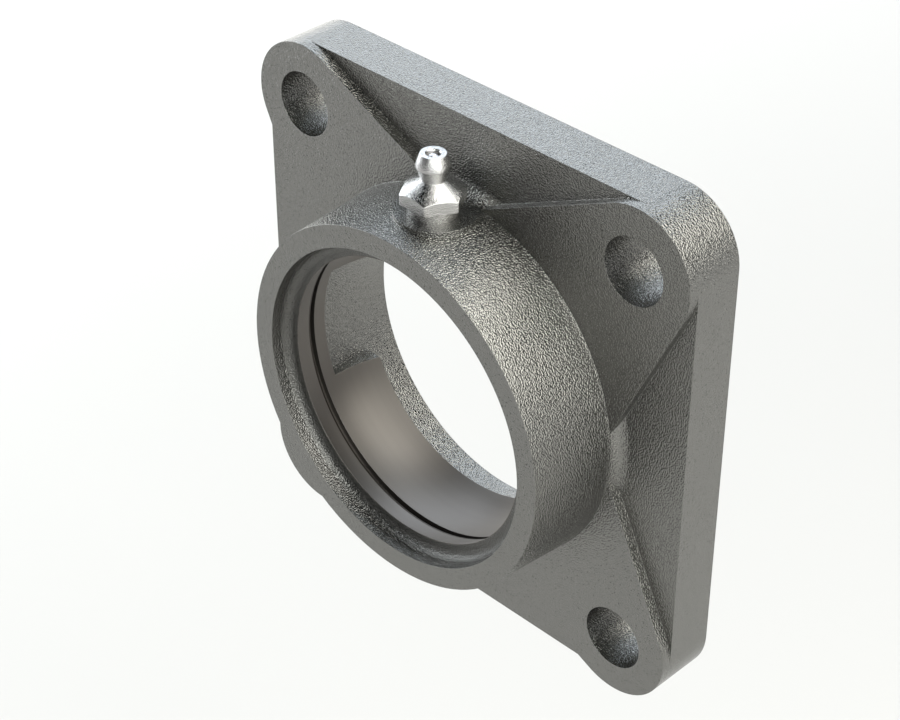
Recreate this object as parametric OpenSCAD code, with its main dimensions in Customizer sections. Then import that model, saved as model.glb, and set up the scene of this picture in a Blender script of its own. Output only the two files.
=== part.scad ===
// Square four-bolt flange housing for a spherical insert bearing, with its grease nipple.
// Millimetres. The bore axis lies along Y, the mounting face is the plane Y = 0, the hub
// points to -Y and the grease nipple stands on top, along +Z. The origin is the centre of
// the bore on the mounting face.
// The housing is one iron casting. It is drawn lying on its mounting face, with the bore
// axis along its own Z and the nipple along its own Y, and is then stood up by upright().

/* [Flange] */
// Side of the square flange
flange_side = 108; // [104:0.5:114]
// Distance between neighbouring bolt holes
bolt_spacing = 83; // [79:0.5:87]
// Diameter of a bolt hole
bolt_hole_d = 13.2; // [11:0.1:14]
// Thickness of the flange at its four ears
flange_thickness = 12.8; // [11:0.1:16]
// Depth of the panels between the ears, below the ears
panel_depth = 2.2; // [1:0.1:4]
// Radius of the circle round the bore that the ears' straight edges run tangent to
ear_root_radius = 32.2; // [28:0.1:36]

/* [Hub] */
// Height of the hub's front face over the mounting face
hub_depth = 31.1; // [29:0.1:36]
// Outer diameter of the hub at its front face
hub_front_d = 74.6; // [72:0.2:80]
// Draft of the hub's outside, in degrees
hub_draft = 3.8; // [1:0.1:6]
// Radius of the fillet between the hub and the panels
hub_foot_fillet = 3; // [1:0.1:4.5]
// Diameter of the cast mouth at the hub's front face
mouth_d = 65.6; // [64:0.1:67]
// Radius of the fillet at the bottom of the cast mouth
mouth_fillet = 2; // [0.5:0.1:2.4]
// Draft of the cast mouth, in degrees
mouth_draft = 3; // [0:0.5:6]

/* [Bearing seat] */
// Diameter of the spherical seat
seat_d = 62; // [60:0.1:63]
// Distance of the seat's centre from the mounting face
seat_centre = 18; // [17:0.1:19.5]
// Reach of the seat in front of its centre
seat_front_reach = 9.3; // [8:0.1:10.5]
// Reach of the seat behind its centre
seat_rear_reach = 9.7; // [8:0.1:10.5]
// Distance of the grease groove from the mounting face
groove_position = 22.6; // [21.6:0.1:24]
// Width of the grease groove
groove_width = 1.25; // [0.8:0.05:2]
// Depth of the grease groove
groove_depth = 1.4; // [0.8:0.1:2]
// Diameter of the cast bore at the mounting face
cast_bore_d = 68.1; // [66.6:0.1:70]
// Draft of the cast bore, in degrees
cast_bore_draft = 4.6; // [2:0.1:5]
// Width of the two slots that the insert bearing is loaded through
slot_width = 24.7; // [20:0.1:28]
// Reach of the loading slots from the mounting face
slot_reach = 19; // [18.5:0.1:20.5]

/* [Nipple boss] */
// Diameter of the boss under the grease nipple
boss_d = 16; // [14.5:0.1:18]
// Distance of the boss's axis from the mounting face
boss_position = 18.4; // [18:0.1:19.5]
// Height of the boss's flat over the crown of the hub
boss_rise = 0.2; // [0:0.05:1.5]
// Diameter of the tapping drill that opens into the groove
tap_drill_d = 8.7; // [7.6:0.1:8.9]

/* [Grease nipple] */
// Distance of the nipple's axis from the mounting face
nipple_position = 19.2; // [18.8:0.1:19.6]
// Diameter of the tapered thread under the hexagon
thread_d = 9.8; // [9.5:0.05:10.2]
// Length of thread that shows between the boss and the hexagon
thread_exposed = 2.2; // [0.5:0.1:2.8]
// Length of thread inside the boss
thread_engaged = 4.6; // [3.5:0.1:5.2]
// Play between the thread and its hole, on the radius
thread_play = 0.04; // [0.02:0.01:0.08]
// Width of the hexagon across its flats
hex_width = 11; // [10:0.1:12.5]
// Height of the hexagon at its corners
hex_height = 2.1; // [1.6:0.1:4]
// Slope of the hexagon's top, in degrees
hex_slope = 20; // [10:1:25]
// Diameter of the neck under the head
neck_d = 4.6; // [4.4:0.1:5]
// Length of the neck
neck_length = 1; // [0.5:0.1:2]
// Greatest diameter of the head
head_d = 6.5; // [6.2:0.1:7]
// Height of the head's lower taper
head_lower_height = 2.1; // [1.5:0.1:3]
// Height of the band where the head is widest
head_band_height = 0.4; // [0.1:0.1:1]
// Height of the head's crown, over that band
head_upper_height = 2.7; // [2.4:0.1:3.2]
// Radius of the arc that curves the crown in to the flat ring on top
head_crown_radius = 4.7; // [4.4:0.1:8]
// Diameter of the inlet in the head
inlet_d = 2.5; // [2.1:0.05:2.6]
// Diameter of the passage that holds the ball and its spring
passage_d = 3.4; // [3.3:0.05:3.6]
// Diameter of the outlet inside the rolled lip
outlet_d = 2.1; // [1.6:0.1:2.3]
// Height of the rolled lip that holds the spring
lip_height = 0.6; // [0.4:0.1:1]

/* [Check valve] */
// Diameter of the check ball
ball_d = 3; // [2.9:0.05:3.1]
// Play between the ball and its seat, the ball and the spring, and the spring and the lip
valve_play = 0.04; // [0.02:0.01:0.08]
// Diameter of the spring's wire
wire_d = 0.4; // [0.3:0.05:0.45]
// Mean diameter of the spring's coils
coil_d = 2.5; // [2.3:0.05:2.6]
// Number of turns of the spring
spring_turns = 8; // [6:1:10]

/* [Hidden] */
$fn = 96;
// A cut runs this far past the face that it opens
cut = 1;
// The nipple boss starts this far outside the cast bore, inside the hub's wall
boss_root = 0.5;
// Height of the chamfer round the inlet's edge
inlet_chamfer = 0.25;
// Taper of a pipe thread on the radius, per millimetre of length
thread_taper = 1 / 32;
// The ears' straight edges end this far inside the round of the ear
tangent_inset = 0.01;
// Sides of the spring's wire, and rings of points in each turn
wire_sides = 8;
turn_rings = 16;

bolt_offset = bolt_spacing / 2;
// The flange's corners and its ears are round the bolt holes
ear_radius = (flange_side - bolt_spacing) / 2;
panel_level = flange_thickness - panel_depth;

// Outer radius of the hub at a height over the mounting face
function hub_radius(height) = hub_front_d / 2 + (hub_depth - height) * tan(hub_draft);
// Radius of the cast bore at a height over the mounting face
function cast_bore_radius(height) = cast_bore_d / 2 - height * tan(cast_bore_draft);
// Radius of the tapered thread at a distance under the hexagon
function thread_radius(distance) = thread_d / 2 - distance * thread_taper;

seat_front = seat_centre + seat_front_reach;
seat_rear = seat_centre - seat_rear_reach;
mouth_r = mouth_d / 2 - (hub_depth - seat_front) * tan(mouth_draft);

// Heights along the nipple, over the bore axis
boss_top = hub_radius(boss_position) + boss_rise;
hex_base = boss_top + thread_exposed;
hex_corner_r = hex_width / 2 / cos(30);
hex_top = hex_base + hex_height;
neck_base = hex_top + (hex_corner_r - neck_d / 2) * tan(hex_slope);
head_base = neck_base + neck_length;
head_band = head_base + head_lower_height;
head_shoulder = head_band + head_band_height;
head_top = head_shoulder + head_upper_height;
thread_length = thread_exposed + thread_engaged;
thread_tip = hex_base - thread_length;

// The ball closes the lower edge of the inlet
inlet_height = ball_d / 2 - sqrt(pow(ball_d / 2, 2) - pow(inlet_d / 2, 2)) + inlet_chamfer;
inlet_edge = head_top - inlet_height;
ball_centre = inlet_edge - sqrt(pow(ball_d / 2 + valve_play, 2) - pow(inlet_d / 2, 2));
spring_top = ball_centre - sqrt(pow(ball_d / 2 + wire_d / 2 + valve_play, 2) - pow(coil_d / 2, 2));
spring_base = thread_tip + lip_height + wire_d / 2 + valve_play;

// Stands up what is drawn lying on the mounting face
module upright() {
    rotate([90, 0, 0]) children();
}

// Puts what is drawn along Z onto the nipple's axis
module on_nipple_axis() {
    translate([0, -nipple_position, 0]) children();
}

module at_bolts() {
    for (x = [-bolt_offset, bolt_offset], y = [-bolt_offset, bolt_offset])
        translate([x, y]) children();
}

// Square with its corners round the bolt holes
module flange_outline() {
    square([flange_side, bolt_spacing], center = true);
    square([bolt_spacing, flange_side], center = true);
    at_bolts() circle(ear_radius);
}

// One ear: round its bolt hole, with two straight edges that run in to the hub
module ear_outline(corner) {
    spread = acos((ear_root_radius - ear_radius) / (bolt_offset * sqrt(2)));
    hole = bolt_offset * sqrt(2) * [cos(corner), sin(corner)];
    reach = ear_radius - tangent_inset;
    low = [cos(corner - spread), sin(corner - spread)];
    high = [cos(corner + spread), sin(corner + spread)];
    translate(hole) circle(ear_radius);
    polygon([ear_root_radius * low, hole + reach * low, hole + reach * high,
             ear_root_radius * high, [0, 0]]);
}

// Section of a fillet at the foot of a wall that stands on the origin and leans away from it
// by a lean angle. It is tangent to the wall and the floor, and bites into both.
module fillet_section(radius, lean) {
    foot = radius * (1 - sin(lean)) / cos(lean);
    touch = foot * [-sin(lean), cos(lean)];
    difference() {
        polygon([
            [foot, radius],
            touch,
            [touch.x - cut, touch.y],
            [touch.x - cut, -cut],
            [foot, -cut]
        ]);
        translate([foot, radius]) circle(radius);
    }
}

// Flange plate, ears and hub before anything is cut into them
module casting_outside() {
    linear_extrude(panel_level) flange_outline();
    linear_extrude(flange_thickness) for (corner = [45 : 90 : 315]) ear_outline(corner);
    rotate_extrude() {
        polygon([[0, 0], [hub_radius(0), 0], [hub_front_d / 2, hub_depth], [0, hub_depth]]);
        translate([hub_radius(panel_level), panel_level])
            fillet_section(hub_foot_fillet, hub_draft);
    }
    boss_base = cast_bore_d / 2 + boss_root;
    translate([0, boss_base, boss_position])
        rotate([-90, 0, 0]) cylinder(h = boss_top - boss_base, d = boss_d);
}

// Cast mouth in front of the seat: a drafted wall, a fillet and a flat ledge
module mouth() {
    rotate_extrude() difference() {
        polygon([
            [0, seat_front],
            [mouth_r, seat_front],
            [mouth_d / 2 + cut * tan(mouth_draft), hub_depth + cut],
            [0, hub_depth + cut]
        ]);
        translate([mouth_r, seat_front]) mirror([1, 0])
            fillet_section(mouth_fillet, mouth_draft);
    }
}

// Machined spherical band that the insert bearing swivels in
module seat() {
    intersection() {
        translate([0, 0, seat_centre]) sphere(d = seat_d);
        translate([0, 0, seat_rear]) cylinder(h = seat_front - seat_rear, d = seat_d + cut);
    }
}

module grease_groove() {
    groove_r = sqrt(pow(seat_d / 2, 2) - pow(groove_position - seat_centre, 2)) + groove_depth;
    translate([0, 0, groove_position - groove_width / 2]) cylinder(h = groove_width, r = groove_r);
}

// Cast bore behind the seat. The insert bearing goes in edgeways through the slots that run on
// past the seat's centre, left and right between the two lands, and is then turned.
module cast_bore() {
    land_width = cast_bore_d / 2 + cut;
    difference() {
        translate([0, 0, -cut]) cylinder(
            h = slot_reach + cut,
            r1 = cast_bore_radius(-cut),
            r2 = cast_bore_radius(slot_reach)
        );
        for (side = [0, 180]) rotate(side)
            translate([-land_width, slot_width / 2, seat_rear])
                cube([2 * land_width, land_width, slot_reach]);
    }
}

module bolt_holes() {
    translate([0, 0, -cut]) linear_extrude(flange_thickness + 2 * cut)
        at_bolts() circle(d = bolt_hole_d);
}

// Tapered hole for the nipple's thread, and the tapping drill's way on into the groove
module nipple_hole() {
    mouth_height = boss_top + cut;
    translate([0, 0, thread_tip]) cylinder(
        h = mouth_height - thread_tip,
        r1 = thread_radius(hex_base - thread_tip) + thread_play,
        r2 = thread_radius(hex_base - mouth_height) + thread_play
    );
    cylinder(h = thread_tip, d = tap_drill_d);
}

module flange_housing() {
    color("dimgray") difference() {
        upright() difference() {
            casting_outside();
            mouth();
            seat();
            grease_groove();
            cast_bore();
            bolt_holes();
        }
        on_nipple_axis() nipple_hole();
    }
}

// Tapered thread, hexagon, neck and head, drilled from below for the ball and its spring
module grease_nipple() {
    color("silver") on_nipple_axis() difference() {
        union() {
            nipple_hexagon();
            rotate_extrude() turned_section();
        }
        rotate_extrude() polygon([
            [0, thread_tip - cut],
            [outlet_d / 2, thread_tip - cut],
            [outlet_d / 2, thread_tip + lip_height],
            [passage_d / 2, thread_tip + lip_height],
            [passage_d / 2, inlet_edge],
            [inlet_d / 2, inlet_edge],
            [inlet_d / 2, head_top - inlet_chamfer],
            [inlet_d / 2 + inlet_chamfer + cut, head_top + cut],
            [0, head_top + cut]
        ]);
    }
}

// Hexagon whose top slopes down to its corners. Its cone runs on to a point inside the neck.
module nipple_hexagon() {
    cone_point = hex_top + hex_corner_r * tan(hex_slope);
    intersection() {
        translate([0, 0, hex_base])
            cylinder(h = cone_point - hex_base, r = hex_corner_r, $fn = 6);
        rotate_extrude() polygon([
            [0, hex_base],
            [hex_corner_r + cut, hex_base],
            [hex_corner_r + cut, hex_top - cut * tan(hex_slope)],
            [0, cone_point]
        ]);
    }
}

// Thread, neck and head, joined inside the hexagon. The crown's arc starts upright at the
// shoulder.
module turned_section() {
    difference() {
        polygon([
            [0, thread_tip],
            [thread_radius(thread_length), thread_tip],
            [thread_radius(0), hex_base],
            [neck_d / 2, hex_top],
            [neck_d / 2, head_base],
            [head_d / 2, head_band],
            [head_d / 2, head_top],
            [0, head_top]
        ]);
        translate([head_d / 2 - head_crown_radius, head_shoulder]) difference() {
            square([head_crown_radius + cut, head_upper_height + cut]);
            circle(head_crown_radius);
        }
    }
}

module check_ball() {
    color("lightgray") on_nipple_axis() translate([0, 0, ball_centre]) sphere(d = ball_d);
}

// Height of the spring's wire after a number of turns: the end turns are closed
function spring_height(turn) =
    let (closed = wire_d + valve_play,
         open = (spring_top - spring_base - 2 * closed) / (spring_turns - 2))
    turn < 1 ? turn * closed
    : turn > spring_turns - 1 ? spring_top - spring_base - (spring_turns - turn) * closed
    : closed + (turn - 1) * open;

module check_spring() {
    rings = spring_turns * turn_rings;
    points = [
        for (ring = [0 : rings], side = [0 : wire_sides - 1])
            let (turn = ring / turn_rings,
                 around = 360 * turn,
                 over = 360 * side / wire_sides,
                 out = coil_d / 2 + wire_d / 2 * cos(over))
            [out * cos(around), out * sin(around), spring_height(turn) + wire_d / 2 * sin(over)]
    ];
    walls = [
        for (ring = [0 : rings - 1], side = [0 : wire_sides - 1])
            let (next = (side + 1) % wire_sides)
            [
                ring * wire_sides + side,
                ring * wire_sides + next,
                (ring + 1) * wire_sides + next,
                (ring + 1) * wire_sides + side
            ]
    ];
    start = [for (side = [wire_sides - 1 : -1 : 0]) side];
    end = [for (side = [0 : wire_sides - 1]) rings * wire_sides + side];
    color("gray") on_nipple_axis() translate([0, 0, spring_base])
        polyhedron(points, concat([start], walls, [end]));
}

flange_housing();
grease_nipple();
check_ball();
check_spring();
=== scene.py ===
# %% [markdown]
# A square flange housing for a spherical insert bearing is one rough iron casting with a few
# machined faces, and a small plated grease nipple screwed into the top of its hub. This
# notebook dresses the solid model of that housing: its shapes are already right and stay where
# they are, so the lesson is about surfaces. It goes from the frame to the camera, the studio,
# the shader groups, the finishes and the small turned parts.

import bpy
import numpy as np
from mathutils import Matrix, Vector


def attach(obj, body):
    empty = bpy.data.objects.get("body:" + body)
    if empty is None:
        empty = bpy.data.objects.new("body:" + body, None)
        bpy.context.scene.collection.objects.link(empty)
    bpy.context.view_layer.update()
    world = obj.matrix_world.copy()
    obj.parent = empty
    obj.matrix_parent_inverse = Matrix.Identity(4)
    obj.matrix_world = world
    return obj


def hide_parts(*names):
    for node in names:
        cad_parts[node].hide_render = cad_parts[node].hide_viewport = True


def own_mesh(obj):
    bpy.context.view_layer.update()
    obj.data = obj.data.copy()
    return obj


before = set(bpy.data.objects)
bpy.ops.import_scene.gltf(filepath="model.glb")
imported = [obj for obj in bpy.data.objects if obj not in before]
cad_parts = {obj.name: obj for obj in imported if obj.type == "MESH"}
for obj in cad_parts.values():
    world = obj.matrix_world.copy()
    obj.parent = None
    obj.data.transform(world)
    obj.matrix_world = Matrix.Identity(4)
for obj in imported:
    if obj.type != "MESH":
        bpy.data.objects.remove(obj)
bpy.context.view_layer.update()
MM = 0.001


print("nodes:", ", ".join(sorted(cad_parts)))

# %% [markdown]
# The camera stands in front of the hub, to its right and above it, the same amount along each
# axis, and looks along the diagonal of a cube. That is the isometric direction, but with a lens
# of 88 mm near the part, so lines still run together a little towards the back. A camera can be
# placed by its matrix too. A point to aim at, a direction and a distance are easier to read and
# to correct one at a time.

# %% Camera
LOOK = Vector((-1, 1, -1)).normalized()
AIM = Vector((-3.685, -11.368, -0.049)) * MM
CAMERA_DISTANCE = 421.99 * MM
LENS = 87.97
SENSOR = 36.0
NEAREST = 0.01
FARTHEST = 50


def make_camera():
    """A camera at AIM minus LOOK times its distance, turned so that +Z stays upright."""
    data = bpy.data.cameras.new("camera")
    data.sensor_fit = "HORIZONTAL"
    data.sensor_width = SENSOR
    data.lens = LENS
    data.clip_start = NEAREST
    data.clip_end = FARTHEST
    camera = bpy.data.objects.new("camera", data)
    camera.location = AIM - CAMERA_DISTANCE * LOOK
    camera.rotation_mode = "QUATERNION"
    camera.rotation_quaternion = LOOK.to_track_quat("-Z", "Y")
    bpy.context.scene.collection.objects.link(camera)
    bpy.context.scene.camera = camera
    return camera


camera = make_camera()
print("camera at", [round(x, 4) for x in camera.location])

# %% [markdown]
# Shader trees are easier to read when a node is one line. The first helper adds a node of a
# kind, sets its fields, and fills its sockets: a value goes in as it is, and another node's
# socket is linked. The others stand on it, for the sums and colours that come up all the time.

# %% Helpers for shader nodes


def add(tree, kind, sockets=None, **fields):
    """Adds a shader node. sockets maps an input's name or number to a value or a socket."""
    made = tree.nodes.new("ShaderNode" + kind)
    for name, value in fields.items():
        setattr(made, name, value)
    for name, value in (sockets or {}).items():
        if isinstance(value, bpy.types.NodeSocket):
            tree.links.new(value, made.inputs[name])
        else:
            made.inputs[name].default_value = value
    return made


def math(tree, operation, *values):
    """The result socket of a Math node."""
    return add(tree, "Math", dict(enumerate(values)), operation=operation).outputs[0]


def ramp(tree, value, low, high, to_low=0.0, to_high=1.0):
    """A value mapped from the range low to high onto to_low to to_high, with soft ends."""
    made = add(tree, "MapRange", {0: value, 1: low, 2: high, 3: to_low, 4: to_high},
               interpolation_type="SMOOTHSTEP")
    return made.outputs[0]


def near(tree, value, middle, reach):
    """1 where a value is less than reach away from middle, and 0 elsewhere."""
    away = math(tree, "ABSOLUTE", math(tree, "SUBTRACT", value, middle))
    return math(tree, "LESS_THAN", away, reach)


def mix_colour(tree, share, first, second):
    """The colour socket of a Mix node between two colours."""
    made = add(tree, "Mix", {0: share, 6: first, 7: second}, data_type="RGBA")
    return made.outputs[2]


print("node helpers:", ", ".join(helper.__name__ for helper in (add, math, ramp, near, mix_colour)))

# %% [markdown]
# A pattern that several finishes share is built once, as a node group with named inputs and
# outputs, and each material places it with its own values. The shader itself stays in the
# material.

# %% Helpers for groups and materials


def new_group(name, inputs, outputs):
    """A shader node group with number inputs (name: default) and number outputs (names)."""
    group = bpy.data.node_groups.new(name, "ShaderNodeTree")
    for title, default in inputs.items():
        socket = group.interface.new_socket(title, in_out="INPUT", socket_type="NodeSocketFloat")
        socket.default_value = default
    for title in outputs:
        group.interface.new_socket(title, in_out="OUTPUT", socket_type="NodeSocketFloat")
    start = group.nodes.new("NodeGroupInput")
    end = group.nodes.new("NodeGroupOutput")
    return group, start.outputs, end.inputs


def place(tree, group, **values):
    """The outputs of a group node in a material, with its inputs set by name."""
    made = tree.nodes.new("ShaderNodeGroup")
    made.node_tree = group
    for name, value in values.items():
        made.inputs[name].default_value = value
    return made.outputs


def new_material(name):
    """An empty node material, with its Principled shader already on the output."""
    material = bpy.data.materials.new(name)
    material.use_nodes = True
    tree = material.node_tree
    tree.nodes.clear()
    shader = add(tree, "BsdfPrincipled")
    add(tree, "OutputMaterial", {"Surface": shader.outputs[0]})
    return material, tree, shader


print("group and material helpers:", ", ".join(h.__name__ for h in (new_group, place, new_material)))

# %% [markdown]
# Bare metal shows what stands round it, so the room matters as much as the lamps. This one is
# pale up to the horizon and dark above it, which keeps the faces that look up from washing out.
# To the camera it is plain white all over, and in reflections its pale part is white too. The
# Light Path node tells these rays apart, so no lamp is turned up to whiten the background.

# %% The room
WHITE = (1, 1, 1, 1)
SURROUND = (0.95, 0.97, 1.0, 1)
ROOM_FILL = 0.6
FADE_FROM, FADE_TO = -0.06, 0.14


def seen_directly(tree):
    """Two sockets: 1 for a ray from the camera, and 1 for a reflected or transmitted ray."""
    ray = add(tree, "LightPath").outputs
    mirrored = math(tree, "MAXIMUM", ray["Is Glossy Ray"], ray["Is Transmission Ray"])
    return ray["Is Camera Ray"], mirrored


def make_room():
    """A world that fades to black between two heights of the view direction."""
    world = bpy.data.worlds.new("surround")
    bpy.context.scene.world = world
    world.use_nodes = True
    tree = world.node_tree
    tree.nodes.clear()
    height = add(tree, "SeparateXYZ", {0: add(tree, "TexCoord").outputs["Generated"]}).outputs[2]
    room = ramp(tree, height, FADE_FROM, FADE_TO, 1.0, 0.0)
    direct, mirrored = seen_directly(tree)
    backdrop = math(tree, "MAXIMUM", direct, math(tree, "MULTIPLY", mirrored, room))
    colour = mix_colour(tree, backdrop, SURROUND, WHITE)
    strength = math(tree, "MAXIMUM", backdrop, math(tree, "MULTIPLY", room, ROOM_FILL))
    light = add(tree, "Background", {"Color": colour, "Strength": strength})
    add(tree, "OutputWorld", {"Surface": light.outputs[0]})
    return world


room = make_room()
print("room:", len(room.node_tree.nodes), "nodes")

# %% [markdown]
# The part hangs free, with a matt floor a quarter of a metre under its middle, so its shadow is
# faint and wide. The floor's own colour is grey, because a white one would throw light up at the
# part. A little glow, again only for what the camera and the metal see, brings it to white, and
# more of it far away, where the lamps no longer reach.

# %% The floor
FLOOR_Z = -0.25
FLOOR_SIZE = 6.0
FLOOR_COLOUR = (0.325, 0.32, 0.305, 1)
FLOOR_ROUGHNESS = 0.9
FLOOR_SPECULAR = 0.1
FLOOR_GLOW = 0.05
FLOOR_WHITENING = 0.33
FAR_WHITENING = 0.32
FAR_FROM, FAR_TO = 0.4, 1.1


def make_floor():
    """A flat square under the part. Its glow is FLOOR_GLOW for every ray, plus a whitening for
    rays from the camera and in reflections that grows with the distance from the middle."""
    half = FLOOR_SIZE / 2
    corners = [(x, y, FLOOR_Z) for x, y in ((-half, -half), (half, -half), (half, half), (-half, half))]
    mesh = bpy.data.meshes.new("floor")
    mesh.from_pydata(corners, [], [(0, 1, 2, 3)])
    floor = bpy.data.objects.new("floor", mesh)
    bpy.context.scene.collection.objects.link(floor)
    material, tree, shader = new_material("pale_floor")
    shader.inputs["Base Color"].default_value = FLOOR_COLOUR
    shader.inputs["Roughness"].default_value = FLOOR_ROUGHNESS
    shader.inputs["Specular IOR Level"].default_value = FLOOR_SPECULAR
    shader.inputs["Emission Color"].default_value = WHITE
    backdrop = math(tree, "MAXIMUM", *seen_directly(tree))
    point = add(tree, "TexCoord").outputs["Object"]
    away = add(tree, "VectorMath", {0: point}, operation="LENGTH").outputs["Value"]
    whitening = ramp(tree, away, FAR_FROM, FAR_TO, FLOOR_WHITENING, FLOOR_WHITENING + FAR_WHITENING)
    glow = math(tree, "MULTIPLY_ADD", backdrop, whitening, FLOOR_GLOW)
    tree.links.new(glow, shader.inputs["Emission Strength"])
    mesh.materials.append(material)
    return floor


floor = make_floor()
print("floor:", FLOOR_SIZE, "m wide,", -FLOOR_Z, "m under the middle of the part")

# %% [markdown]
# The lamps are a ring of soft boxes: mostly cool ones behind and to the left, warmer ones to
# the right, a neutral one in front, and a small one overhead for the crown of the nipple. So
# many lamps are hard to balance by eye. The part was first lit by one at a time, and these
# pictures were weighed so that their sum is as bright as the real object, place by place. The
# powers that came out were then raised together by half, and a few were corrected.

# %% The lamps
LAMP_DISTANCE = 0.9
# name, direction from the part, width and height in metres, power in watts, colour
LAMPS = [
    ("back_left_low", (-0.8, 0.57, 0.0), 0.6, 0.45, 1.2, (1.0, 0.99, 0.93)),
    ("back_left", (-0.57, 0.6, 0.57), 0.75, 0.75, 5.4, (0.82, 0.9, 1.0)),
    ("back_top", (0.1, 0.55, 0.83), 0.6, 0.5, 1.25, (0.9, 0.97, 1.0)),
    ("back_right", (0.64, 0.22, 0.72), 0.8, 0.8, 9.8, (1.0, 0.985, 0.93)),
    ("right", (0.98, -0.1, 0.15), 0.6, 0.5, 3.05, (0.99, 1.0, 0.95)),
    ("front", (0.58, -0.58, 0.58), 0.7, 0.7, 7.6, (0.98, 1.0, 0.98)),
    ("left", (-0.98, -0.1, 0.25), 0.6, 0.7, 8.0, (0.91, 0.96, 1.0)),
    ("overhead", (0.2, 0.2, 0.96), 0.34, 0.34, 1.8, (1.0, 0.98, 0.93)),
]


def make_lamp(name, direction, wide, tall, power, colour):
    """A soft box that faces the part from a direction, unseen by the camera itself."""
    data = bpy.data.lights.new(name, "AREA")
    data.shape = "RECTANGLE"
    data.size = wide
    data.size_y = tall
    data.energy = power
    data.color = colour
    lamp = bpy.data.objects.new(name, data)
    towards = Vector(direction).normalized()
    lamp.location = AIM + LAMP_DISTANCE * towards
    lamp.rotation_mode = "QUATERNION"
    lamp.rotation_quaternion = towards.to_track_quat("Z", "Y")
    lamp.visible_camera = False
    bpy.context.scene.collection.objects.link(lamp)
    return lamp


lamps = [make_lamp(*row) for row in LAMPS]
bpy.context.scene.view_settings.view_transform = "Standard"
print(len(lamps), "lamps with", round(sum(lamp.data.energy for lamp in lamps), 1), "W together")

# %% [markdown]
# Sand-cast iron keeps the print of the sand: rounded grains about half a millimetre wide, with
# finer grit on them, and a few dark pits. The pattern could be an image wrapped round the part.
# It is worked out in space instead, on Object coordinates, so it runs over every edge without a
# seam. The group gives a height for a Bump node, a mask of dark specks, and a soft cloud of
# lighter and darker places.

# %% Cast grain group
MM_PER_M = 1000.0
WAVES_PER_GRAIN = 2
GRAIN_DETAIL = 0.6
GRAIN_FOOT, GRAIN_TOP = 0.25, 0.75
GRITS_PER_M = 7000.0
SPECK_EDGE = (0.12, 0.19)
CLOUDS_PER_M = 45.0
CLOUD_DETAIL = 3.0


def make_cast_grain():
    """Height, Speck and Cloud of sand-cast iron. Height is a noise of Grain mm, rounded off at
    its foot and top, plus Grit times a finer noise. Speck is 1 within SPECK_EDGE of scattered
    points, Speck Spacing mm apart."""
    group, given, out = new_group(
        "cast_grain", {"Grain": 0.62, "Grit": 0.12, "Speck Spacing": 0.95}, ("Height", "Speck", "Cloud"))
    point = add(group, "TexCoord").outputs["Object"]
    per_grain = math(group, "DIVIDE", WAVES_PER_GRAIN * MM_PER_M, given["Grain"])
    grains = add(group, "TexNoise", {"Vector": point, "Scale": per_grain, "Detail": GRAIN_DETAIL})
    rounded = ramp(group, grains.outputs[0], GRAIN_FOOT, GRAIN_TOP)
    fine = add(group, "TexNoise", {"Vector": point, "Scale": GRITS_PER_M, "Detail": 0.0}).outputs[0]
    group.links.new(math(group, "MULTIPLY_ADD", fine, given["Grit"], rounded), out["Height"])
    per_speck = math(group, "DIVIDE", MM_PER_M, given["Speck Spacing"])
    cells = add(group, "TexVoronoi", {"Vector": point, "Scale": per_speck})
    group.links.new(ramp(group, cells.outputs["Distance"], *SPECK_EDGE, 1.0, 0.0), out["Speck"])
    cloud = add(group, "TexNoise", {"Vector": point, "Scale": CLOUDS_PER_M, "Detail": CLOUD_DETAIL})
    group.links.new(cloud.outputs[0], out["Cloud"])
    return group


cast_grain = make_cast_grain()
print("cast grain group:", len(cast_grain.nodes), "nodes")

# %% [markdown]
# A turned surface carries fine rings where the tool went round. Both turned faces of the
# housing, the flat mounting face and the ball-shaped seat, share the bore's axis. So one
# pattern serves both: noise along a single length, the distance from the axis plus the depth.

# %% Tool marks group
BANDS_PER_M = 900.0
BAND_DETAIL = 2.0


def make_tool_marks():
    """Height and Streak of turning marks about the Y axis, both noises along the length
    sqrt(x^2 + z^2) + y. Pitch is the feed in mm, and Streak is a band of several passes."""
    group, given, out = new_group("tool_marks", {"Pitch": 0.22}, ("Height", "Streak"))
    point = add(group, "SeparateXYZ", {0: add(group, "TexCoord").outputs["Object"]}).outputs
    across = math(group, "MULTIPLY", point[0], point[0])
    radius = math(group, "SQRT", math(group, "MULTIPLY_ADD", point[2], point[2], across))
    along = math(group, "ADD", radius, point[1])
    per_pitch = math(group, "DIVIDE", MM_PER_M, given["Pitch"])
    rings = add(group, "TexNoise", {"W": along, "Scale": per_pitch, "Detail": 1.0},
                noise_dimensions="1D")
    group.links.new(rings.outputs[0], out["Height"])
    bands = add(group, "TexNoise", {"W": along, "Scale": BANDS_PER_M, "Detail": BAND_DETAIL},
                noise_dimensions="1D")
    group.links.new(bands.outputs[0], out["Streak"])
    return group


tool_marks = make_tool_marks()
print("tool marks group:", len(tool_marks.nodes), "nodes")

# %% [markdown]
# Three places of the casting have been cut: the ball-shaped seat, the groove round it and the
# flat mounting face. A second material on their faces would do, but the solid's mesh is loose
# triangles and is left alone. So each place is found by its geometry: the seat by its distance
# from the ball's centre, the groove by its depth along the bore, and the mounting face by its
# plane.

# %% Where the cutter has been
SEAT_RADIUS = 31.0 * MM
SEAT_CENTRE = Vector((0, -18.0, 0)) * MM
SEAT_SLACK = 0.12 * MM
GROOVE_Y = -22.6 * MM
GROOVE_HALF = 0.66 * MM
GROOVE_DEPTH = 1.8 * MM
BACK_SLACK = 0.05 * MM


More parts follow.
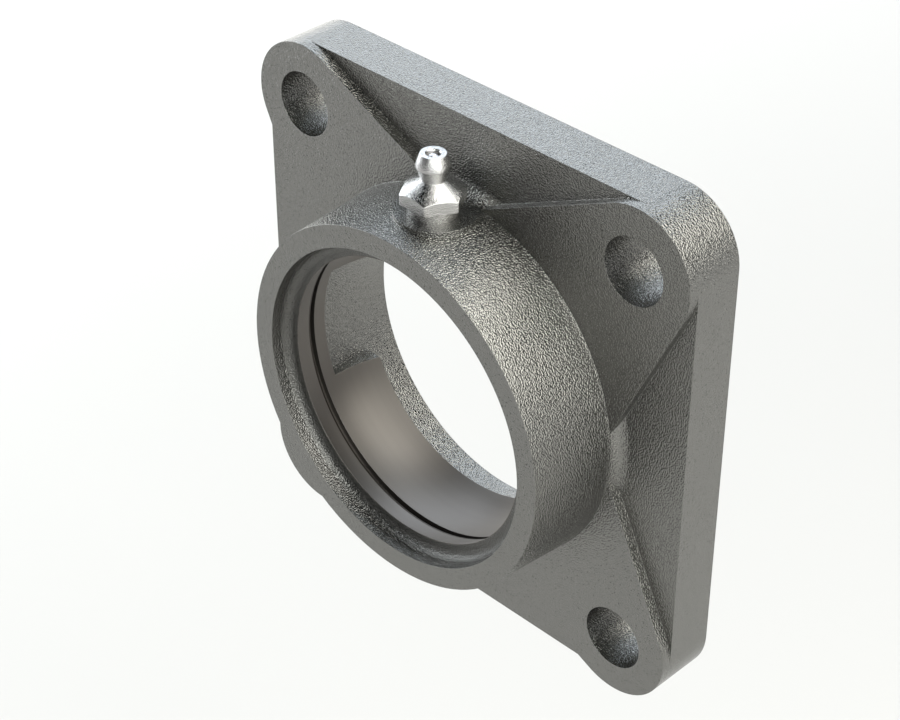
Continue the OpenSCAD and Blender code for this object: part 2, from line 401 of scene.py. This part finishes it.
def machined_mask(tree, point, depth):
    """1 on the seat, in its groove and on the mounting face, and 0 on the cast skin."""
    centred = add(tree, "VectorMath", {0: point, 1: SEAT_CENTRE}, operation="DISTANCE")
    out_of_centre = centred.outputs["Value"]
    on_seat = near(tree, out_of_centre, SEAT_RADIUS, SEAT_SLACK)
    on_back = math(tree, "GREATER_THAN", depth, -BACK_SLACK)
    behind_seat = near(tree, out_of_centre, SEAT_RADIUS + GROOVE_DEPTH / 2, GROOVE_DEPTH / 2)
    in_groove = math(tree, "MULTIPLY", near(tree, depth, GROOVE_Y, GROOVE_HALF), behind_seat)
    return math(tree, "MAXIMUM", math(tree, "MAXIMUM", on_seat, on_back), in_groove)


print("seat: a ball of", round(SEAT_RADIUS / MM, 2), "mm radius, with a groove", round(-GROOVE_Y / MM, 2),
      "mm in front of the mounting face")

# %% [markdown]
# In front of the seat the bore widens into a cast mouth. The corner at its bottom lies in
# shade, so its colour is darkened there as painted shade, and its roughness is raised. One
# more mask finds it: inside a radius, in front of the seat, and stronger towards the corner.

# %% The corner of the mouth
MOUTH_RADIUS = 32.9 * MM
MOUTH_FRONT = -29.2 * MM
MOUTH_CORNER = -28.2 * MM
SEAT_FRONT = -27.2 * MM
OFF_AXIS = (1, 0, 1)


def mouth_mask(tree, point, depth):
    """Rises from 0 at the front of the mouth to 1 at its corner, and is 0 everywhere else."""
    flat = add(tree, "VectorMath", {0: point, 1: OFF_AXIS}, operation="MULTIPLY").outputs[0]
    radius = add(tree, "VectorMath", {0: flat}, operation="LENGTH").outputs["Value"]
    inside = math(tree, "LESS_THAN", radius, MOUTH_RADIUS)
    in_mouth = math(tree, "MULTIPLY", inside, ramp(tree, depth, MOUTH_FRONT, MOUTH_CORNER))
    return math(tree, "MULTIPLY", in_mouth, math(tree, "LESS_THAN", depth, SEAT_FRONT))


print("mouth's corner:", round((MOUTH_CORNER - MOUTH_FRONT) / MM, 2), "mm deep")

# %% [markdown]
# The casting is dark grey metal, with a few dark pits. The cut places are darker, slightly
# brown, and show faint bands from the tool. A groove's edge lies in its own shade, so a dark
# line is drawn beside it.

# %% Colours of the casting
IRON = (0.2, 0.198, 0.187, 1)
IRON_DARK = (0.05, 0.05, 0.047, 1)
PIT_SHARE = 0.75
# How far the corner of the mouth is darkened towards black, as painted shade.
MOUTH_PAINTED_SHADE = 0.38
BLACK = (0, 0, 0, 1)
MACHINED = (0.151, 0.14, 0.128, 1)
MACHINED_DARK = (0.143, 0.132, 0.121, 1)
GROOVE_EDGE_Y = -23.0 * MM
GROOVE_EDGE_HALF = 0.62 * MM
GROOVE_DARK = (0.04, 0.034, 0.029, 1)


def cast_colour(tree, speck, in_mouth):
    """Iron with dark specks, and painted shade in the corner of the mouth."""
    pitted = mix_colour(tree, math(tree, "MULTIPLY", speck, PIT_SHARE), IRON, IRON_DARK)
    return mix_colour(tree, math(tree, "MULTIPLY", in_mouth, MOUTH_PAINTED_SHADE), pitted, BLACK)


def machined_colour(tree, streak, machined, depth):
    """Turned metal in faint bands, and darker beside the groove."""
    turned = mix_colour(tree, streak, MACHINED, MACHINED_DARK)
    beside = math(tree, "MULTIPLY", near(tree, depth, GROOVE_EDGE_Y, GROOVE_EDGE_HALF), machined)
    return mix_colour(tree, beside, turned, GROOVE_DARK)


print("colours: iron", IRON[:3], "and turned metal", MACHINED[:3])

# %% [markdown]
# The masks and colours now come together in one material. A Bevel node rounds the shading of
# its edges by about a tenth of a millimetre, as a real casting's edges are, without a change to
# the mesh. The Bump node gets that normal, and adds the grain or the tool marks on top.

# %% Casting finish
CAST_ROUGHNESS = 0.25
CORNER_ROUGHNESS = 0.33
MACHINED_ROUGHNESS = 0.46
GRAIN_DEPTH = 0.08 * MM
MARK_HEIGHT = 0.02
EDGE_ROUNDING = 0.12 * MM
EDGE_SAMPLES = 6


def make_casting():
    """Grain where the casting is as it came from the sand, and tool marks where it was cut."""
    material, tree, shader = new_material("cast_iron")
    point = add(tree, "TexCoord").outputs["Object"]
    depth = add(tree, "SeparateXYZ", {0: point}).outputs[1]
    machined = machined_mask(tree, point, depth)
    rough = math(tree, "SUBTRACT", 1.0, machined)
    in_mouth = mouth_mask(tree, point, depth)
    grain = place(tree, cast_grain)
    marks = place(tree, tool_marks)
    iron = cast_colour(tree, math(tree, "MULTIPLY", grain["Speck"], rough), in_mouth)
    turned = machined_colour(tree, marks["Streak"], machined, depth)
    tree.links.new(mix_colour(tree, machined, iron, turned), shader.inputs["Base Color"])
    shader.inputs["Metallic"].default_value = 1.0
    cast_roughness = ramp(tree, in_mouth, 0, 1, CAST_ROUGHNESS, CORNER_ROUGHNESS)
    roughness = ramp(tree, machined, 0, 1, cast_roughness, MACHINED_ROUGHNESS)
    tree.links.new(roughness, shader.inputs["Roughness"])
    ridge = math(tree, "MULTIPLY", math(tree, "MULTIPLY", marks["Height"], machined), MARK_HEIGHT)
    height = math(tree, "MULTIPLY_ADD", grain["Height"], rough, ridge)
    edge = add(tree, "Bevel", {"Radius": EDGE_ROUNDING}, samples=EDGE_SAMPLES).outputs[0]
    bump = add(tree, "Bump", {"Distance": GRAIN_DEPTH, "Height": height, "Normal": edge})
    tree.links.new(bump.outputs[0], shader.inputs["Normal"])
    return material


def dress(node, material):
    """Puts a material on a CAD node, in place of the ones it was packed with."""
    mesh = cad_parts[node].data
    mesh.materials.clear()
    mesh.materials.append(material)


casting = make_casting()
dress("flange_housing", casting)
print("casting finish:", len(casting.node_tree.nodes), "nodes")

# %% [markdown]
# The nipple is zinc plated, its ball is polished steel and its spring is drawn wire. All three
# are bright metals that differ in colour and polish, so one function makes them. They use the
# grain group again with a grain half as wide and a third as deep, which gives the light on the
# plating its fine, uneven edge, and its cloud for a slight stain.

# %% Plating, ball and wire
BRIGHT_GRAIN = 0.3
BRIGHT_DEPTH = 0.026 * MM
STAIN = (0.5, 0.5, 0.5, 1)
STAIN_SHARE = 0.2


def make_metal(name, colour, roughness):
    """A bright metal: fine grain in its normal, and a cloud of grey over its colour."""
    material, tree, shader = new_material(name)
    grain = place(tree, cast_grain, Grain=BRIGHT_GRAIN)
    share = math(tree, "MULTIPLY", grain["Cloud"], STAIN_SHARE)
    tree.links.new(mix_colour(tree, share, colour, STAIN), shader.inputs["Base Color"])
    shader.inputs["Metallic"].default_value = 1.0
    shader.inputs["Roughness"].default_value = roughness
    bump = add(tree, "Bump", {"Distance": BRIGHT_DEPTH, "Height": grain["Height"]})
    tree.links.new(bump.outputs[0], shader.inputs["Normal"])
    return material


zinc_plate = make_metal("zinc_plate", (0.47, 0.466, 0.457, 1), 0.2)
ball_steel = make_metal("ball_steel", (0.75, 0.75, 0.77, 1), 0.15)
spring_wire = make_metal("spring_wire", (0.55, 0.55, 0.57, 1), 0.35)
dress("check_ball", ball_steel)
print("bright metals:", ", ".join(metal.name for metal in (zinc_plate, ball_steel, spring_wire)))

# %% [markdown]
# The grease nipple is turned from hexagon bar and drilled right through, so its whole skin is
# one closed ring: a profile that runs up the outside, over the head, down the bore and back
# under the thread. Every ring of points keeps its own radius for each angle, so the same rings
# carry both the round parts and the hexagon. No boolean is needed, and there is no pole.
# Heights are over the bore's axis, in millimetres.

# %% Nipple sizes
NIPPLE_Y = -19.2
THREAD_TIP = 33.74
BOSS_TOP = 38.34
THREAD_R = 4.9
THREAD_TAPER = 1 / 32
HEX_BASE = 40.54
HEX_TOP = 42.64
HEX_FLAT = 5.5
HEX_CORNER = HEX_FLAT / np.cos(np.pi / 6)
HEX_SLOPE = np.tan(np.radians(31))
NECK_R = 2.3
HEAD_BAND = 47.7
HEAD_R = 3.25
SHOULDER = 47.9
HEAD_TOP = 50.32
CROWN_TOP_R = 2.42
CROWN_BULGE = 1.3
CROWN_ROWS = 9
INLET_R = 1.25
INLET_CHAMFER = 0.25
INLET_EDGE = 49.4
PASSAGE_R = 1.7
OUTLET_R = 1.05
OUTLET_LIP = 0.6
print("nipple:", round(2 * HEX_CORNER, 2), "mm over its corners,", round(HEAD_TOP - BOSS_TOP, 2),
      "mm over its boss")

# %% [markdown]
# Evenly spaced angles would cut the corners off a hexagon. The angles are crowded towards the
# six corners instead, where the radius turns fastest. The corners are eased by the same formula
# that gives the flats, with no separate fillet.

# %% Angles and radius of a hexagon
FLAT_STEPS = 24
CORNER_SHARPNESS = 90
FLAT_MIDDLES = np.radians(30 + 60 * np.arange(6))


def hexagon_angles(steps):
    """Angles round the nipple, close together at the six corners: each flat takes
    30 degrees times the sine of an even step, either side of its middle."""
    even = np.linspace(-1, 1, steps, endpoint=False)
    flat = 30 * np.sin(even * np.pi / 2)
    return np.radians((np.arange(6)[:, None] * 60 + 30 + flat).ravel())


def hexagon_radius(angles, flat, sharpness):
    """Distance to a hexagon with eased corners: flat over the p-norm of the cosines of the
    angles to its six flats. A high p leaves the flats flat and only eases the corners."""
    towards_flats = np.clip(np.cos(angles[:, None] - FLAT_MIDDLES), 0, None)
    return flat / (towards_flats ** sharpness).sum(1) ** (1 / sharpness)


angles = hexagon_angles(FLAT_STEPS)
hexagon = hexagon_radius(angles, HEX_FLAT, CORNER_SHARPNESS)
print("hexagon:", len(angles), "angles, radius", round(hexagon.min(), 3), "to",
      round(hexagon.max(), 3), "mm")

# %% [markdown]
# The profile is first written as a list of corners, the way a turner would read them off a
# drawing: up the thread, out to the hexagon, over its cone to the neck, round the head and down
# the bore. The third number of a corner is how far it will be eased.

# %% Corners of the nipple's profile


def nipple_corners(angles, hexagon):
    """Corners of the nipple's closed profile, up the outside and down the bore, as corner x
    angle x (radius, height), and how far each is eased. The crown narrows from the head's
    radius to the top's by a power of the rise."""
    rise = np.linspace(0, 1, CROWN_ROWS)
    crown_r = HEAD_R - (HEAD_R - CROWN_TOP_R) * rise ** CROWN_BULGE
    crown_z = SHOULDER + (HEAD_TOP - SHOULDER) * rise
    rows = [
        (thread_radius(THREAD_TIP), THREAD_TIP, 0.4),
        (THREAD_R, HEX_BASE, 0.04),
        (hexagon, HEX_BASE, 0.15),
        (hexagon, HEX_TOP + (HEX_CORNER - hexagon) * HEX_SLOPE, 0.08),
        (NECK_R, HEX_TOP + (HEX_CORNER - NECK_R) * HEX_SLOPE, 0.06),
        (HEAD_R, HEAD_BAND, 0.05),
        *[(r, z, 0.2) for r, z in zip(crown_r[:-1], crown_z[:-1])],
        (crown_r[-1], HEAD_TOP, 0.05),
        (INLET_R + INLET_CHAMFER, HEAD_TOP, 0.05),
        (INLET_R, HEAD_TOP - INLET_CHAMFER, 0.05),
        (INLET_R, INLET_EDGE, 0.03),
        (PASSAGE_R, INLET_EDGE, 0.05),
        (PASSAGE_R, THREAD_TIP + OUTLET_LIP, 0.1),
        (OUTLET_R, THREAD_TIP + OUTLET_LIP, 0.05),
        (OUTLET_R, THREAD_TIP, 0.1),
    ]
    corners = [np.stack([np.broadcast_to(r, angles.shape), np.broadcast_to(z, angles.shape)], -1)
               for r, z, _ in rows]
    return np.stack(corners), np.array([ease for _, _, ease in rows])


def thread_radius(height):
    """Radius of the tapered thread: it narrows by 1/32 mm for each mm under the hexagon."""
    return THREAD_R - (HEX_BASE - height) * THREAD_TAPER


corners, ease = nipple_corners(angles, hexagon)
print("nipple's profile:", len(corners), "corners, eased by", ease.min(), "to", ease.max(), "mm")

# %% [markdown]
# No turned edge is perfectly sharp, and an eased edge is what catches the light. A Bevel
# modifier could do it, but each edge needs its own width here. So the profile's corners are
# eased before the surface is made, each one by a short parabola.

# %% Eased corners
EASE_STEPS = 4
MOST_OF_EDGE = 0.45


def eased_rings(corners, reach):
    """A closed profile with its corners eased. Each corner is replaced by a parabola from
    reach before it to reach after it: (1-t)^2 start + 2t(1-t) corner + t^2 end.
    corners is corner x angle x (radius, height), and reach one length per corner."""
    to_next = np.roll(corners, -1, 0) - corners
    length = np.linalg.norm(to_next, axis=2, keepdims=True)
    ahead = np.minimum(np.reshape(reach, (-1, 1, 1)), MOST_OF_EDGE * length)
    behind = np.minimum(np.reshape(reach, (-1, 1, 1)), MOST_OF_EDGE * np.roll(length, 1, 0))
    start = corners - behind * np.roll(to_next / length, 1, 0)
    end = corners + ahead * to_next / length
    t = np.linspace(0, 1, EASE_STEPS + 1)[None, :, None, None]
    rings = (1 - t) ** 2 * start[:, None] + 2 * t * (1 - t) * corners[:, None] + t ** 2 * end[:, None]
    return rings.reshape(-1, *corners.shape[1:])


rings = eased_rings(corners, ease)
print("nipple without its thread:", len(rings), "rings")

# %% [markdown]
# The thread is hidden in its boss, yet it is part of the piece. More rings are put between the
# tip and the hexagon, and the cut is taken off their radius. It turns with the angle, so the
# groove climbs as a helix and the grid stays whole.

# %% The nipple's thread
THREAD_ROWS = 76
THREAD_START = 0.5
THREAD_END = 0.1
THREAD_PITCH = 1.0
THREAD_DEPTH = 0.32
RUN_OUT_GAP = 0.2
RUN_OUT = 0.8
RUN_IN = 0.3
WALL = 1.0


def thread_rings(angles):
    """Evenly spaced rings up the tapered thread, close enough to carry its cut."""
    heights = np.linspace(THREAD_TIP + THREAD_START, HEX_BASE - THREAD_END, THREAD_ROWS)
    heights = np.broadcast_to(heights[:, None], (THREAD_ROWS, len(angles)))
    return np.stack([thread_radius(heights), heights], axis=-1)


def cut_thread(rings, angles):
    """Cuts a helical thread into the rings between the tip and the boss. The cut is
    depth x (1 - cos(2 pi (height / pitch - turn))) / 2, and fades out under the hexagon."""
    r, z = rings[..., 0], rings[..., 1]
    wave = (1 - np.cos(2 * np.pi * (z / THREAD_PITCH - angles / (2 * np.pi)))) / 2
    fade_out = np.clip((BOSS_TOP - RUN_OUT_GAP - z) / RUN_OUT, 0, 1)
    fade_in = np.clip((z - THREAD_TIP) / RUN_IN, 0, 1)
    outside = r > PASSAGE_R + WALL
    cut = np.where(outside, THREAD_DEPTH * wave * fade_out * fade_in, 0)
    return np.stack([r - cut, z], axis=-1)


tip = EASE_STEPS + 1
rings = np.concatenate([rings[:tip], thread_rings(angles), rings[tip:]])
rings = cut_thread(rings, angles)
print("nipple with its thread:", len(rings), "rings")

# %% [markdown]
# A grid of points becomes a mesh in one step: numbers for the grid's points, shifted by one row
# and one column, give the corners of every face. The rows are joined round to themselves for
# the nipple, which is a ring, and a tube such as the spring gets a face at each end.

# %% From a grid to a mesh


def surface(name, points, close_rows=False, caps=False):
    """A mesh object from a grid of points, row x column x xyz, in metres, whose columns go all
    the way round. close_rows joins the last row to the first. caps closes a tube's ends."""
    rows, columns = points.shape[:2]
    index = np.arange(rows * columns).reshape(rows, columns)
    if close_rows:
        index = np.vstack([index, index[:1]])
    index = np.hstack([index, index[:, :1]])
    quads = np.stack([index[:-1, :-1], index[:-1, 1:], index[1:, 1:], index[1:, :-1]], axis=-1)
    faces = quads.reshape(-1, 4).tolist()
    if caps:
        faces += [list(range(columns))[::-1], list(range((rows - 1) * columns, rows * columns))]
    mesh = bpy.data.meshes.new(name)
    mesh.from_pydata(points.reshape(-1, 3), [], faces)
    mesh.polygons.foreach_set("use_smooth", np.ones(len(mesh.polygons), dtype=bool))
    piece = bpy.data.objects.new(name, mesh)
    bpy.context.scene.collection.objects.link(piece)
    return piece


print("grid helper:", surface.__name__)

# %% [markdown]
# With its rings worked out, the nipple is one call. Smooth shading over a flat and an eased
# edge makes the flats look swollen, so a Weighted Normal modifier lets the large faces decide,
# and the hexagon stays flat.

# %% Nipple
FLAT_WEIGHT = 50


def make_nipple(rings, angles):
    """The rings turned about the nipple's own axis: x = r cos a, y = r sin a, z = height."""
    r, z = rings[..., 0], rings[..., 1]
    points = np.stack([r * np.cos(angles), r * np.sin(angles) + NIPPLE_Y, z], axis=-1) * MM
    piece = surface("nipple_body", points, close_rows=True)
    piece.data.materials.append(zinc_plate)
    flats = piece.modifiers.new("even_flats", "WEIGHTED_NORMAL")
    flats.weight = FLAT_WEIGHT
    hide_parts("grease_nipple")
    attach(piece, "housing")
    return piece


nipple = make_nipple(rings, angles)

# %% [markdown]
# Under the check ball lies a coil spring, wound with its first and last turn closed. A tube is
# carried along the coil, and it is finer than the solid one. When a grease gun lifts the ball,
# the spring has to give way.

# %% Check spring
WIRE_R = 0.2
WIRE_SIDES = 12
COIL_R = 1.25
COIL_TURNS = 8
STEPS_PER_TURN = 32
CLOSED_PITCH = 0.44
SPRING_BASE = 34.58
SPRING_TOP = 47.29


def make_spring():
    """A tube along a coil: the angle grows evenly with the turn, and the height follows it by
    the closed pitch in the end turns and evenly between them."""
    turn = np.linspace(0, COIL_TURNS, COIL_TURNS * STEPS_PER_TURN + 1)[:, None]
    length = SPRING_TOP - SPRING_BASE
    height = SPRING_BASE + np.interp(turn, [0, 1, COIL_TURNS - 1, COIL_TURNS],
                                     [0, CLOSED_PITCH, length - CLOSED_PITCH, length])
    over = -2 * np.pi * np.arange(WIRE_SIDES)[None, :] / WIRE_SIDES
    out = COIL_R + WIRE_R * np.cos(over)
    around = 2 * np.pi * turn
    points = np.stack([out * np.cos(around), out * np.sin(around) + NIPPLE_Y,
                       height + WIRE_R * np.sin(over)], axis=-1) * MM
    piece = surface("coil_spring", points, caps=True)
    piece.data.materials.append(spring_wire)
    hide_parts("check_spring")
    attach(piece, "housing")
    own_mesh(piece)
    return piece


spring = make_spring()
